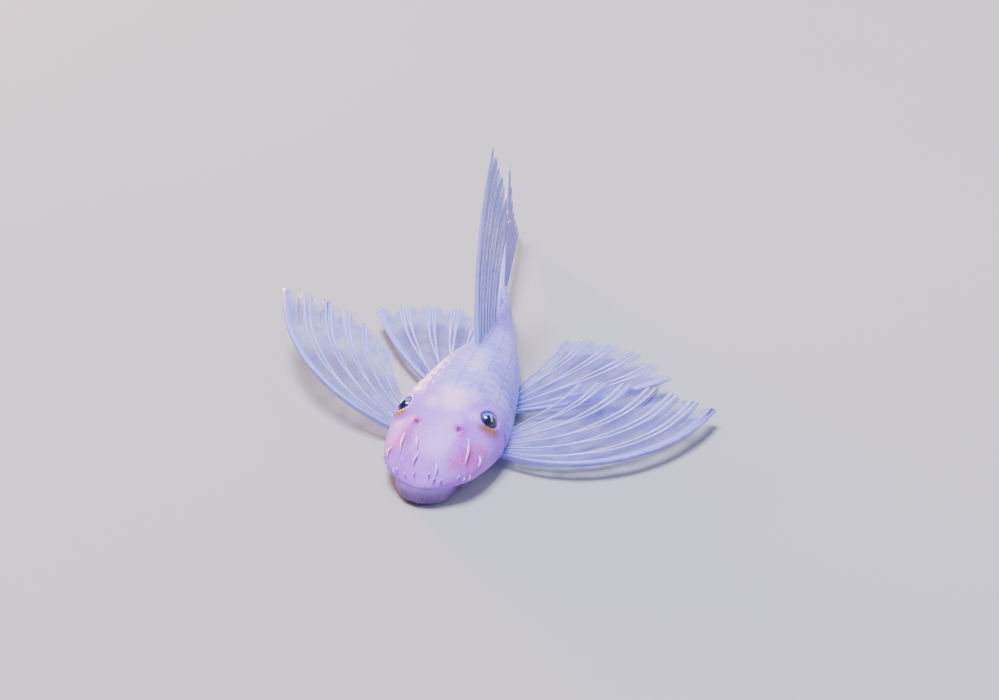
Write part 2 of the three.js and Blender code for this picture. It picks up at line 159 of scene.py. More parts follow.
def metres(points):
    return (np.asarray(points, float) + toFrame) * 0.001


print("stage: sizes read, snout at", np.round(toFrame, 3))


# meshes
def newPiece(name, points, faces):
    mesh = bpy.data.meshes.new(name)
    mesh.from_pydata(metres(points).tolist(), [], faces)
    mesh.update()
    mesh.polygons.foreach_set("use_smooth", np.ones(len(mesh.polygons), bool))
    piece = bpy.data.objects.new(name, mesh)
    bpy.context.scene.collection.objects.link(piece)
    return piece


def addValues(piece, name, values):     # one number for each vertex, read by the materials
    layer = piece.data.attributes.new(name, "FLOAT", "POINT")
    layer.data.foreach_set("value", np.asarray(values, np.float32).ravel())


def gridFaces(rows, columns, wrap=False, start=0):
    r = np.arange(rows - 1)[:, None]
    k = np.arange(columns if wrap else columns - 1)[None, :]
    nextK = (k + 1) % columns
    a = r * columns + k
    b = r * columns + nextK
    return (np.stack([a, b, b + columns, a + columns], -1) + start).reshape(-1, 4)


def outward(piece):         # turns every face to point out of the closed piece
    import bmesh
    work = bmesh.new()
    work.from_mesh(piece.data)
    bmesh.ops.recalc_face_normals(work, faces=work.faces)
    work.to_mesh(piece.data)
    work.free()


# closed tube along a path: circles of the given radii in the frame of the path, closed by a flat face at
# each end
def tube(path, radii, sides):
    path = np.asarray(path, float)
    tangent = unit(np.gradient(path, axis=0))
    reference = np.where(np.abs(tangent[:, 2:3]) > 0.9, [[1.0, 0, 0]], [[0, 0, 1.0]])
    side = unit(np.cross(tangent, reference))
    up = np.cross(side, tangent)
    angle = np.linspace(0, 2 * np.pi, sides, endpoint=False)
    ring = side[:, None] * np.cos(angle)[None, :, None] + up[:, None] * np.sin(angle)[None, :, None]
    points = (path[:, None] + ring * np.asarray(radii)[:, None, None]).reshape(-1, 3)
    count = len(path)
    faces = gridFaces(count, sides, True).tolist()
    faces.append(list(range(sides))[::-1])
    faces.append([(count - 1) * sides + k for k in range(sides)])
    return points, faces


def joined(parts):          # several point and face lists as one
    points, faces, start = [], [], 0
    for p, f in parts:
        points.append(p)
        faces += [[i + start for i in face] for face in f]
        start += len(p)
    return np.concatenate(points), faces


# materials
def sockets(group, name, kind, default=None, out=False):
    made = group.interface.new_socket(name, in_out="OUTPUT" if out else "INPUT", socket_type=kind)
    if default is not None:
        made.default_value = default


class Nodes:                # short way to add and link nodes in one tree
    def __init__(self, tree):
        self.tree = tree

    def add(self, kind, inputs=None, **settings):
        node = self.tree.nodes.new(kind)
        for key, value in settings.items():
            setattr(node, key, value)
        for key, value in (inputs or {}).items():
            self.feed(node, key, value)
        return node

    def mask(self, name):       # a number that the piece carries on its vertices
        return self.add("ShaderNodeAttribute", attribute_name=name).outputs["Fac"]

    def feed(self, node, key, value):
        socket = node.inputs[key]
        if isinstance(value, bpy.types.NodeSocket):
            self.tree.links.new(value, socket)
        else:
            socket.default_value = value

    def math(self, operation, a, b=0.0, clamp=False):
        return self.add("ShaderNodeMath", {0: a, 1: b}, operation=operation, use_clamp=clamp).outputs[0]

    def blend(self, factor, a, b):
        node = self.add("ShaderNodeMix", data_type="RGBA")
        for key, value in ((0, factor), (6, a), (7, b)):
            self.feed(node, key, value)
        return node.outputs[2]

    def span(self, value, low, high, toLow=0.0, toHigh=1.0):
        inputs = {0: value, 1: low, 2: high, 3: toLow, 4: toHigh}
        return self.add("ShaderNodeMapRange", inputs, interpolation_type="SMOOTHSTEP").outputs[0]

    def noise(self, place, scale, detail=3.0, rough=0.5):
        inputs = {"Vector": place, "Scale": scale, "Detail": detail, "Roughness": rough}
        return self.add("ShaderNodeTexNoise", inputs).outputs["Fac"]


# shared mottling of the skin: a soft large patchiness and a fine speckle, as two masks
def mottleGroup():
    group = bpy.data.node_groups.new("skinMottle", "ShaderNodeTree")
    sockets(group, "Patch Scale", "NodeSocketFloat", 180.0)
    sockets(group, "Speckle Scale", "NodeSocketFloat", 1500.0)
    sockets(group, "Patches", "NodeSocketFloat", out=True)
    sockets(group, "Speckles", "NodeSocketFloat", out=True)
    n = Nodes(group)
    given = n.add("NodeGroupInput").outputs
    place = n.add("ShaderNodeTexCoord").outputs["Object"]
    patches = n.span(n.noise(place, given["Patch Scale"], 4, 0.55), 0.35, 0.68)
    speckles = n.span(n.noise(place, given["Speckle Scale"], 2, 0.6), 0.5, 0.72)
    n.add("NodeGroupOutput", {"Patches": patches, "Speckles": speckles})
    return group


mottle = mottleGroup()


def newMaterial(name):
    material = bpy.data.materials.new(name)
    material.use_nodes = True
    n = Nodes(material.node_tree)
    return material, n, material.node_tree.nodes["Principled BSDF"]


def mottled(n, patchScale, speckleScale):
    node = n.add("ShaderNodeGroup", node_tree=mottle)
    node.inputs["Patch Scale"].default_value = patchScale
    node.inputs["Speckle Scale"].default_value = speckleScale
    return node.outputs["Patches"], node.outputs["Speckles"]


def setShader(shader, **values):
    for key, value in values.items():
        shader.inputs[key.replace("_", " ")].default_value = value


skinLook = {
    "body": (0.26, 0.22, 0.97, 1),      # pale lilac of the plated flanks
    "back": (0.50, 0.49, 1.0, 1),       # whiter lilac along the back
    "head": (0.45, 0.11, 0.99, 1),      # pinker lilac of the head
    "headPale": (0.66, 0.28, 0.99, 1),  # paler blotches of the head
    "paintedHighlight": (0.96, 0.64, 0.99, 1),     # near white painted highlight on top of the head and the back
    "flush": (0.50, 0.03, 0.46, 1),     # blood showing through the cheeks and the snout
    "deep": (0.14, 0.08, 0.42, 1),      # shade in the folds and seams
    "belly": (0.66, 0.50, 0.86, 1),
    "amber": (0.34, 0.12, 0.07, 1),     # warm skin in front of the eyes
    "edge": (0.74, 0.72, 1.0, 1),       # paler rims at the raised rear edges of the plates
    "speck": (0.9, 0.82, 1, 1),         # fine pale speckles
    "roughness": 0.42,
}


def skinMaterial():
    material, n, shader = newMaterial("paleSkin")
    place = n.add("ShaderNodeTexCoord").outputs["Object"]
    masks = ("along", "crest", "groove", "flush", "amber", "paintedHighlight", "below", "rim")
    of = {m: n.mask(m) for m in masks}
    patches, speckles = mottled(n, 210.0, 2100.0)
    headness = n.span(of["along"], 0.36, 0.2)
    colour = n.blend(n.math("MULTIPLY", patches, 0.55), skinLook["body"], skinLook["back"])
    headSkin = n.blend(n.math("MULTIPLY", patches, 0.35), skinLook["head"], skinLook["headPale"])
    colour = n.blend(headness, colour, headSkin)
    colour = n.blend(n.math("MULTIPLY", of["below"], 0.8), colour, skinLook["belly"])
    # painted highlight: near white where the light from above catches the head and the back
    paintedHighlight = n.math("MULTIPLY", of["paintedHighlight"], n.span(patches, 0, 1, 0.65, 1.0))
    colour = n.blend(paintedHighlight, colour, skinLook["paintedHighlight"])
    flush = n.math("MULTIPLY", of["flush"], n.span(patches, 0, 1, 0.6, 1.0))
    colour = n.blend(flush, colour, skinLook["flush"])
    colour = n.blend(of["amber"], colour, skinLook["amber"])
    colour = n.blend(n.math("MULTIPLY", of["groove"], 0.6), colour, skinLook["deep"])
    colour = n.blend(n.math("MULTIPLY", of["rim"], 0.45), colour, skinLook["edge"])
    colour = n.blend(n.math("MULTIPLY", speckles, 0.14), colour, skinLook["speck"])
    n.feed(shader, "Base Color", colour)
    n.feed(shader, "Roughness", n.span(speckles, 0, 1, skinLook["roughness"], 0.6))
    rough = n.math("MAXIMUM", of["crest"], n.span(of["along"], 0.1, 0.22, 0.1, 0.7))
    grain = n.math("MULTIPLY", n.noise(place, 5200.0, 2, 0.6), rough)
    pores = n.noise(place, 1700.0, 3, 0.6)
    height = n.math("ADD", n.math("MULTIPLY", grain, 0.6), n.math("MULTIPLY", pores, 0.5))
    bump = n.add("ShaderNodeBump", {"Strength": 0.4, "Distance": 0.00008, "Height": height})
    n.feed(shader, "Normal", bump.outputs[0])
    setShader(shader, Subsurface_Weight=0.1, Subsurface_Scale=0.0006, Coat_Weight=0.1, Coat_Roughness=0.3)
    shader.inputs["Specular IOR Level"].default_value = 0.35
    shader.inputs["Subsurface Radius"].default_value = (1.0, 0.45, 0.8)
    return material


# body skin: one closed surface over the head, trunk and tail stalk
skin = {
    "rows": 420, "columns": 224,
    "plateCount": 24, "plateRise": 0.2,
    "rowBorders": [-26, -4, 18, 41, 65, 90],    # edges of the five rows of plates on a side, in degrees
    "browRise": 0.3,
    "nostril": {"at": 0.165, "angle": 0.38, "radius": 0.42},
    # patches of blood under the skin: share of the length, turn from the middle line, radius, strength
    "patches": [
        (0.165, 0.38, 1.25, 0.85), (0.162, -0.35, 1.3, 0.85),
        (0.11, 0.9, 2.1, 0.9), (0.085, 0.66, 1.4, 0.8), (0.14, 1.1, 1.2, 0.6),
        (0.115, -0.62, 1.4, 0.95), (0.105, -0.9, 1.6, 0.9), (0.14, -0.48, 1.0, 0.8),
        (0.05, 0.2, 0.9, 0.35), (0.06, -0.4, 0.8, 0.35),
    ],
    # painted highlights on top of the head and the back, in the same columns
    "paintedHighlightSpots": [
        (0.258, 0.05, 2.2, 1.0), (0.24, -0.2, 1.3, 0.8), (0.285, 0.34, 1.3, 0.6), (0.41, 0.05, 2.0, 0.5),
    ],
}


# plate relief: along the body each plate rises to its rear edge and drops onto the next one, the edge is
# drawn back in the middle of its row and combed with tiny teeth, and shallow grooves part the rows
def plateRelief(share, angle):
    borders = np.radians(skin["rowBorders"])
    folded = np.where(np.cos(angle) >= 0, angle, np.pi - angle)
    row = np.clip(np.searchsorted(borders, folded) - 1, 0, len(borders) - 2)
    across = 2 * (folded - borders[row]) / (borders[row + 1] - borders[row]) - 1
    onSide = smooth((folded - borders[0] + 0.12) / 0.12) * (folded > borders[0] - 0.12)
    count = skin["plateCount"] * (share - fish["headShare"]) / (1 - fish["headShare"])
    phase = count + 0.32 * across ** 2 + 0.5 * (row % 2)
    part = phase - np.floor(phase)
    edge = smooth((1 - part) / 0.09)
    rise = (0.15 + 0.85 * part ** 1.3) * edge
    groove = smooth((np.abs(across) - 0.8) / 0.2)
    keel = 0.25 * np.exp(-(across / 0.16) ** 2) * part * edge
    fade = smooth((share - fish["headShare"] + 0.03) / 0.04) * smooth((1 - share) / 0.02) * onSide
    comb = 0.18 * np.cos(across * np.pi * 7) * smooth((part - 0.6) / 0.3) * edge
    relief = skin["plateRise"] * ((rise + keel + comb) * (1 - 0.65 * groove)) * fade
    seams = np.maximum(groove * 0.5, (1 - edge) * 0.9) * fade
    rims = smooth((part - 0.72) / 0.15) * edge * (1 - groove) * fade
    return relief, seams, fade, rims


def bodySkin():
    t = np.linspace(0, 1, skin["rows"])
    s = bodyLength * mix(0.0004, 1, mix(t ** 1.6, t, smooth(t / 0.5)))[:, None]
    angle = (np.linspace(0, 2 * np.pi, skin["columns"], endpoint=False) - np.pi / 2)[None, :]
    base = skinPoint(s, angle)
    normal = skinNormal(s, angle)
    share = np.broadcast_to(s / bodyLength, base.shape[:2])
    angles = np.broadcast_to(angle, base.shape[:2])
    relief, seams, plated, rims = plateRelief(share, angles)
    groove = seams.copy()
    flush, amber, paintedHighlight = np.zeros((3,) + base.shape[:2])
    below = smooth((-np.sin(angles) - 0.3) / 0.4)
    for side in (1, -1):
        away = np.linalg.norm(base - eyeCentre(side), axis=-1) / eye["radius"]
        rim = np.exp(-((away - 1.06) / 0.2) ** 2)
        relief = relief + skin["browRise"] * smooth((2.1 - away) / 0.9) + 0.16 * rim
        relief = relief - 0.9 * smooth((0.94 - away) / 0.1)
        groove = np.maximum(groove, 0.9 * smooth((1.04 - away) / 0.08))
    # nostrils: a pit with a raised rim, taller behind, where the flap stands
    _, back, left = bodyFrame(skin["nostril"]["at"] * bodyLength)
    for side in (1, -1):
        turned = np.pi / 2 - side * skin["nostril"]["angle"]
        centre = skinPoint(skin["nostril"]["at"] * bodyLength, turned)
        away = np.linalg.norm(base - centre, axis=-1) / skin["nostril"]["radius"]
        behind = np.clip(((base - centre) @ back) / skin["nostril"]["radius"], -1, 1.6)
        relief = relief + (0.16 + 0.12 * behind) * np.exp(-((away - 1.25) / 0.35) ** 2)
        relief = relief - 0.35 * smooth((1 - away) / 0.6)
        groove = np.maximum(groove, 0.55 * smooth((1.0 - away) / 0.5))
    # head shield: low ridges run back from the nostrils over the eyes, and the cheeks are a little sunk
    onHead = 1 - smooth((share - 0.26) / 0.05)
    aside = np.abs(np.pi / 2 - np.where(np.cos(angles) >= 0, angles, np.pi - angles))
    ridge = np.exp(-((aside - 0.42) / 0.13) ** 2) * smooth((share - 0.1) / 0.06) * onHead
    relief = relief + 0.12 * ridge
    cheek = np.exp(-((aside - 1.0) / 0.28) ** 2) * np.exp(-((share - 0.13) / 0.05) ** 2)
    relief = relief - 0.12 * cheek
    # blood patches and painted highlights, each laid on as soft spots
    for spots, mask in ((skin["patches"], flush), (skin["paintedHighlightSpots"], paintedHighlight)):
        for at, turn, radius, strength in spots:
            far = np.linalg.norm(base - skinPoint(at * bodyLength, np.pi / 2 - turn), axis=-1) / radius
            np.maximum(mask, strength * smooth((1.6 - far) / 1.3), out=mask)
    # gill slit: a curved groove low on the side, where the head's shield ends
    gill = np.exp(-((share - 0.262 + 0.03 * (aside - 1.5) ** 2) / 0.006) ** 2)
    gill = gill * smooth((aside - 1.25) / 0.2) * smooth((2.35 - aside) / 0.3)
    relief = relief - 0.22 * gill
    groove = np.maximum(groove, gill)
    for side in (1, -1):    # a warm crescent of skin hugs the front of each eye
        ray = base - eyeCentre(side)
        away = np.linalg.norm(ray, axis=-1)
        facing = (unit(ray) @ (-back * 0.85 + left * side * 0.1 + np.array([0, 0, -0.5])))
        near = smooth(1.95 * eye["radius"] - away)
        amber = np.maximum(amber, smooth((facing - 0.4) / 0.4) * near)
    points = base + normal * relief[..., None]
    points[..., 2] = np.maximum(points[..., 2], 0)
    rows, columns = base.shape[:2]
    faces = gridFaces(rows, columns, True).tolist()
    ends = [points[0].mean(0), points[-1].mean(0) + bodyFrame(bodyLength)[1] * 0.1]
    faces += [[rows * columns, (k + 1) % columns, k] for k in range(columns)]
    last = (rows - 1) * columns
    faces += [[rows * columns + 1, last + k, last + (k + 1) % columns] for k in range(columns)]
    piece = newPiece("body_skin", np.concatenate([points.reshape(-1, 3), ends]), faces)
    outward(piece)
    masks = {"along": share, "crest": plated, "groove": groove, "flush": flush, "amber": amber,
             "paintedHighlight": paintedHighlight, "below": below, "rim": rims}
    for name, values in masks.items():
        addValues(piece, name, np.concatenate([values.ravel(), [values[0, 0], values[-1, 0]]]))
    piece.data.materials.append(skinMaterial())
    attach(piece, "root")
    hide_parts("head", "trunk", "tail_stalk")
    return piece


bodySkin()
print("stage: body skin made")

# eyes
eyeLook = {
    "pupil": (0.002, 0.003, 0.03, 1),
    "iris": (0.012, 0.025, 0.16, 1),
    "paintedIrisSheen": (0.12, 0.26, 0.75, 1),      # painted sheen: light blue on the iris's upper side towards the snout
    "flap": (0.26, 0.34, 0.72, 1),      # tongue of the iris that hangs into the pupil
    "ring": (0.30, 0.12, 0.10, 1),
    "pupilWidth": 0.7,                  # half its angle as seen from the eye's centre, in radians
}


def eyeMaterial(side):
    material, n, shader = newMaterial("eyeLeft" if side > 0 else "eyeRight")
    place = n.add("ShaderNodeTexCoord").outputs["Object"]
    of = {m: n.mask(m) for m in ("pupil", "paintedIrisSheen", "flap", "ring")}
    streaks = n.span(n.noise(place, 3600.0, 3, 0.6), 0.35, 0.7)
    paintedIrisSheen = n.math("MULTIPLY", of["paintedIrisSheen"], n.span(streaks, 0, 1, 0.55, 1.0))
    colour = n.blend(paintedIrisSheen, eyeLook["iris"], eyeLook["paintedIrisSheen"])
    colour = n.blend(of["ring"], colour, eyeLook["ring"])
    colour = n.blend(of["pupil"], colour, eyeLook["pupil"])
    colour = n.blend(of["flap"], colour, eyeLook["flap"])
    n.feed(shader, "Base Color", colour)
    n.feed(shader, "Roughness", n.span(streaks, 0, 1, 0.1, 0.22))
    setShader(shader, Coat_Weight=1.0, Coat_Roughness=0.03)
    return material


# the ball is a sphere about the line of sight with the cornea a little proud; pupil, tongue, painted
# sheen and ring are masks of the angle from that line and of the turn about it
def eyeBall(side):
    rows, columns = 90, 128
    latitude = np.linspace(0.01, np.pi - 0.01, rows)[:, None]
    longitude = np.linspace(0, 2 * np.pi, columns, endpoint=False)[None, :]
    _, back, left = bodyFrame(eye["at"] * bodyLength)
    gaze = unit(left * side * 0.66 + np.array([0, 0, 0.6]) - back * 0.42)
    upward = unit(np.array([0, 0, 1.0]) - gaze * gaze[2])
    forward = unit(np.cross(upward, gaze)) * side
    bulge = 1 + 0.05 * np.exp(-(latitude / 0.5) ** 2)
    x, y = np.sin(latitude) * np.cos(longitude), np.sin(latitude) * np.sin(longitude)
    ball = gaze * (np.cos(latitude) * bulge + 0 * longitude)[..., None]
    ball = ball + forward * x[..., None] + upward * y[..., None]
    points = (eyeCentre(side) + ball * eye["radius"] * 0.985).reshape(-1, 3)
    faces = gridFaces(rows, columns, True).tolist()
    faces.append(list(range(columns)))
    faces.append([(rows - 1) * columns + k for k in range(columns)])
    width = eyeLook["pupilWidth"]
    inPupil = smooth((width - latitude + 0 * longitude) / 0.07)
    slant = x * 0.5 + y * 0.866         # the tongue hangs from above and a little in front
    across = x * 0.866 - y * 0.5
    flap = smooth((slant + 0.1) / 0.08) * smooth((0.1 + 0.14 * slant - np.abs(across)) / 0.05)
    flap = flap * smooth((width + 0.05 - latitude) / 0.08) * 0.85
    # painted sheen: the iris lighter on its upper front side, outside the pupil
    paintedIrisSheen = smooth((slant - 0.2) / 0.4) * (1 - inPupil)
    ring = np.exp(-((latitude - 1.02 + 0 * longitude) / 0.1) ** 2) * 0.5 * smooth(0.4 - slant)
    name = "left" if side > 0 else "right"
    piece = newPiece("eye_ball_" + name, points, faces)
    outward(piece)
    for key, values in {"pupil": inPupil, "flap": flap, "paintedIrisSheen": paintedIrisSheen, "ring": ring}.items():
        addValues(piece, key, values)
    piece.data.materials.append(eyeMaterial(side))
    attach(piece, "root")
    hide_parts("eye_" + name)


for side in (1, -1):
    eyeBall(side)
print("stage: eyes made")

# lips: a round sucker disc with soft papillae, a fold of mouth across its underside and two short barbels
lips = {
    "at": 0.077, "across": 4.2, "along": 4.1, "rings": 130, "columns": 220, "papilla": 0.08,
    "profile": [            # place along the profile, share of the radius, height
        (0, 0.01, 0), (0.3, 0.58, 0), (0.42, 0.76, 0), (0.5, 0.89, 0.22), (0.6, 0.985, 0.78),
        (0.7, 1.005, 1.4), (0.8, 0.99, 2.05), (0.88, 0.965, 2.6), (0.94, 0.9, 3.0), (1, 0.7, 3.15),
    ],
}
# shade and edge are the lips' lilac darkened as painted shade under the snout; upper is the lilac where
# the top meets the snout
lipLook = {
    "shade": (0.13, 0.055, 0.22, 1), "edge": (0.26, 0.12, 0.40, 1), "upper": (0.36, 0.18, 0.86, 1),
    "speck": (0.5, 0.3, 0.7, 1), "roughness": 0.5,
}


def lipMaterial():
    material, n, shader = newMaterial("lipSkin")
    place = n.add("ShaderNodeTexCoord").outputs["Object"]
    patches, speckles = mottled(n, 320.0, 2600.0)
    high = n.mask("high")
    # painted shade: the disc is dark at the bottom and turns lighter towards the top, under the snout
    colour = n.blend(patches, lipLook["shade"], lipLook["edge"])
    colour = n.blend(n.span(high, 1.2, 2.9), colour, lipLook["upper"])
    colour = n.blend(n.math("MULTIPLY", speckles, 0.25), colour, lipLook["speck"])
    n.feed(shader, "Base Color", colour)
    n.feed(shader, "Roughness", n.span(speckles, 0, 1, lipLook["roughness"], 0.58))
    pores = n.noise(place, 2400.0, 2)
    bump = n.add("ShaderNodeBump", {"Strength": 0.4, "Distance": 0.0001, "Height": pores})
    n.feed(shader, "Normal", bump.outputs[0])
    setShader(shader, Subsurface_Weight=0.25, Subsurface_Scale=0.001)
    setShader(shader, Coat_Weight=0.2, Coat_Roughness=0.25)
    shader.inputs["Subsurface Radius"].default_value = (1.0, 0.4, 0.5)
    return material


# the disc's surface runs from the middle of the underside, over the rounded rim, to the hidden top:
# radius and height follow one profile, papillae ripple it, and the mouth is pressed up into the middle
def lipDisc():
    place, back, left = bodyFrame(lips["at"] * bodyLength)
    t = np.linspace(0, 1, lips["rings"])[:, None]
    angle = np.linspace(0, 2 * np.pi, lips["columns"], endpoint=False)[None, :]
    radius = np.maximum(curveThrough(lips["profile"], 1, t), 0.008)
    height = np.maximum(curveThrough(lips["profile"], 2, t), 0)
    side = radius * lips["across"] * np.cos(angle)
    fore = radius * lips["along"] * np.sin(angle)
    ripple = np.sin(side * 7.5) * np.cos(fore * 7.5 + 0.8 * np.sin(side * 2))
    onUnderside = smooth((radius - 0.3) / 0.2) * (t < 0.55)
    fringe = smooth((t - 0.4) / 0.1) * smooth((0.95 - t) / 0.1)
    rim = 1 + fringe * (0.006 * np.cos(12 * angle) + 0.005 * np.cos(31 * angle + 7 * t))
    mouth = np.clip(1 - (side / 2.3) ** 2 - (fore / 1.1) ** 2, 0, None) ** 0.5 * (t < 0.4)
    up = height + 0.85 * mouth + np.maximum(ripple, 0) * lips["papilla"] * onUnderside
    points = place + left * (side * rim)[..., None] + back * (fore * rim)[..., None]
    points[..., 2] = np.maximum(up, 0)
    rows, columns = lips["rings"], lips["columns"]
    faces = gridFaces(rows, columns, True).tolist()
    faces.append(list(range(columns)))
    faces.append([(rows - 1) * columns + k for k in range(columns)])
    parts = [(points.reshape(-1, 3), faces)]
    for hand in (1, -1):    # a barbel curves out of each corner of the mouth
        u = np.linspace(0, 1, 14)[:, None]
        start = place + left * hand * (lips["across"] - 0.6) + back * lips["along"] * 0.25
        path = start + left * hand * 1.3 * u + back * 0.6 * u ** 2
        path = path + np.array([0, 0, 1.0]) * (0.8 - 0.3 * u ** 2)
        parts.append(tube(path, 0.34 * (1 - 0.8 * u[:, 0]) ** 0.7, 12))
    points, faces = joined(parts)
    piece = newPiece("lip_disc", points, faces)
    outward(piece)
    addValues(piece, "high", points[:, 2])
    piece.data.materials.append(lipMaterial())
    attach(piece, "root")
    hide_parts("lips")


lipDisc()
print("stage: lips made")


# bristles: short soft spines round the edge of the snout, and longer ones lying forwards on top of it
bristles = {
    "margin": 12, "marginRadius": 0.17, "radius": 0.28, "sides": 10, "steps": 18, "seed": 7,
    "marginPale": 0.3,      # how far the short ones turn from the skin's colour to the pale one
    "skin": (0.42, 0.18, 0.95, 1), "pale": (0.92, 0.62, 0.96, 1), "speck": (0.8, 0.55, 0.95, 1),
    "long": [               # share of the body, turn from the middle line at root and tip, length
        (0.157, 0.635, 0.93, 3.7), (0.136, -0.582, -0.6, 3.1), (0.123, -0.287, -0.2, 1.8),
        (0.08, -0.157, -0.25, 1.7), (0.066, 0.25, 0.5, 1.5), (0.135, 1.15, 1.3, 1.5),
        (0.1, -0.95, -1.1, 1.5),
    ],
}


def bristleMaterial():
    material, n, shader = newMaterial("bristle")
    pale = n.mask("pale")
    patches, speckles = mottled(n, 500.0, 3000.0)
    colour = n.blend(pale, bristles["skin"], bristles["pale"])
    colour = n.blend(n.math("MULTIPLY", speckles, 0.2), colour, bristles["speck"])
    n.feed(shader, "Base Color", colour)
    n.feed(shader, "Roughness", n.span(patches, 0, 1, 0.35, 0.5))
    setShader(shader, Subsurface_Weight=0.15, Subsurface_Scale=0.0006)
    setShader(shader, Coat_Weight=0.3, Coat_Roughness=0.2)
    return material


# a bristle runs forwards over the skin, its root sunk and its tip lifted clear: the skin's point at each
# step, raised along the skin's normal, carries a circle that thins towards the tip
def snoutBristles():
    rng = np.random.default_rng(bristles["seed"])
    spots = []
    for k in range(bristles["margin"]):
        across = (k + 0.5) / bristles["margin"] - 0.5
        turn = np.sign(across) * min(3.1 * abs(across) ** 0.8, 1.42)
        at = 0.032 + 0.3 * abs(across) ** 2.2 + rng.uniform(-0.008, 0.012)
        turn = turn + rng.uniform(-0.05, 0.05)
        length = rng.uniform(0.6, 0.95)
        spots.append((at, turn, turn * 1.05, length, bristles["marginRadius"], bristles["marginPale"]))
    for at, turn, tipTurn, length in bristles["long"]:
        spots.append((at, turn, tipTurn, length, bristles["radius"], 1))
    parts, values = [], []
    u = np.linspace(0, 1, bristles["steps"])
    for at, turn, tipTurn, length, radius, pale in spots:
        s = np.maximum(at * bodyLength - length * u, 0.3)
        angle = np.pi / 2 - mix(turn, tipTurn, u)
        rise = mix(-0.18, 0.3, smooth(u / 0.6)) + 0.12 * u
        path = skinPoint(s, angle) + skinNormal(s, angle) * rise[:, None]
        radii = radius * np.clip(1 - u, 0.04, 1) ** 0.75
        parts.append(tube(path, radii, bristles["sides"]))
        values.append(np.repeat(pale * smooth(u / 0.6), bristles["sides"]))
    points, faces = joined(parts)
    piece = newPiece("snout_bristles", points, faces)
    outward(piece)
    addValues(piece, "pale", np.concatenate(values))
    piece.data.materials.append(bristleMaterial())
    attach(piece, "root")


snoutBristles()
print("stage: bristles made")

# fins: a fan of rays from a straight root, each bending back and rising out of the fan's plane.
# reach holds the length across the fin; fan holds the start angle, the bend and the rise
fins = {}


def rootPoint(share, leftShare, heightShare):
    place, _, left = bodyFrame(share * bodyLength)
    point = place + left * leftShare * bodyLength
    point[2] = heightShare * bodyLength
    return point


def pairedFin(side, roots, **form):
    _, back, left = bodyFrame(roots[0][0] * bodyLength)
    front, rear = [rootPoint(share, side * out, height) for share, out, height in roots]
    return dict(front=front, rear=rear, along=back, out=left * side, off=np.array([0, 0, 1.0]), **form)


def middleFin(at, roots, lean, tilt, **form):
    _, back, left = bodyFrame(at * bodyLength)
    along = unit(back + left * math.tan(math.radians(lean)))
    out = unit(np.array([0, 0, 1.0]) + left * math.tan(math.radians(tilt)))
    front, rear = [rootPoint(*root) for root in roots]
    return dict(front=front, rear=rear, along=along, out=out, off=np.cross(along, out), **form)


pectoralRoots = [(0.25, 0.125, 0.03), (0.3, 0.125, 0.055)]
pelvicRoots = [(0.45, 0.085, 0.028), (0.51, 0.06, 0.026)]
fins["pectoral_fin_left"] = pairedFin(
    1, pectoralRoots, arch=0.05, rays=7, spine=1.5, ragged=0.07, rows=110, columns=260,
    reach=[(0, 0.65), (0.5, 0.52), (1, 0.33)],
    fan=[(0, -22, 112, 0.03), (0.5, 13, 69, 0.04), (1, 50, 28, 0.06)])
fins["pectoral_fin_right"] = pairedFin(
    -1, pectoralRoots, arch=0.05, rays=7, spine=1.5, ragged=0.07, rows=110, columns=260,
    reach=[(0, 0.69), (0.5, 0.5), (1, 0.28)],
    fan=[(0, 0.5, 73, 0.22), (0.5, 24, 47, 0.22), (1, 46, 20, 0.2)])
fins["pelvic_fin_left"] = pairedFin(
    1, pelvicRoots, arch=0.03, rays=6, spine=1.0, ragged=0.07, rows=90, columns=220,
    reach=[(0, 0.5), (0.5, 0.46), (1, 0.36)],
    fan=[(0, 24, 28, 0.05), (0.5, 50, 20, 0.05), (1, 76, 12, 0.04)])
fins["pelvic_fin_right"] = pairedFin(
    -1, pelvicRoots, arch=0.03, rays=6, spine=1.0, ragged=0.07, rows=90, columns=220,
    reach=[(0, 0.5), (0.5, 0.46), (1, 0.36)],
    fan=[(0, 26, 28, 0.08), (0.5, 52, 20, 0.07), (1, 78, 12, 0.05)])
fins["dorsal_fin"] = middleFin(
    0.55, [(0.46, 0, 0.17), (0.66, 0, 0.13)], -6.5, -3, arch=-0.1, rays=8, spine=1.0, ragged=0.06,
    rows=110, columns=280, reach=[(0, 0.64), (0.5, 0.55), (1, 0.42)],
    fan=[(0, 38, 16, 0), (0.5, 48, 14, 0), (1, 58, 12, 0)])
fins["adipose_fin"] = middleFin(
    0.84, [(0.8, 0, 0.11), (0.88, 0, 0.1)], 0, 0, arch=0, rays=2, spine=0.9, ragged=0.2,
    rows=30, columns=60, reach=[(0, 0.1), (1, 0.055)], fan=[(0, 52, 16, 0), (1, 66, 10, 0)])
fins["anal_fin"] = middleFin(
    0.72, [(0.7, 0, 0.05), (0.76, 0, 0.055)], 0, 0, arch=0, rays=5, spine=0.8, ragged=0.1,
    rows=50, columns=120, reach=[(0, 0.22), (0.5, 0.2), (1, 0.14)],
    fan=[(0, 116, -40, 0), (0.5, 104, -30, 0), (1, 96, -16, 0)])
fins["caudal_fin"] = middleFin(
    1, [(0.985, 0, 0.118), (0.985, 0, 0.056)], 0, 0, arch=0, rays=14, spine=0.9, ragged=0.07,
    rows=110, columns=360, reach=[(0, 0.55), (0.5, 0.5), (1, 0.54)],
    fan=[(0, 76, -6, 0.02), (0.5, 88, -4, 0.05), (1, 95, -2, 0.08)])


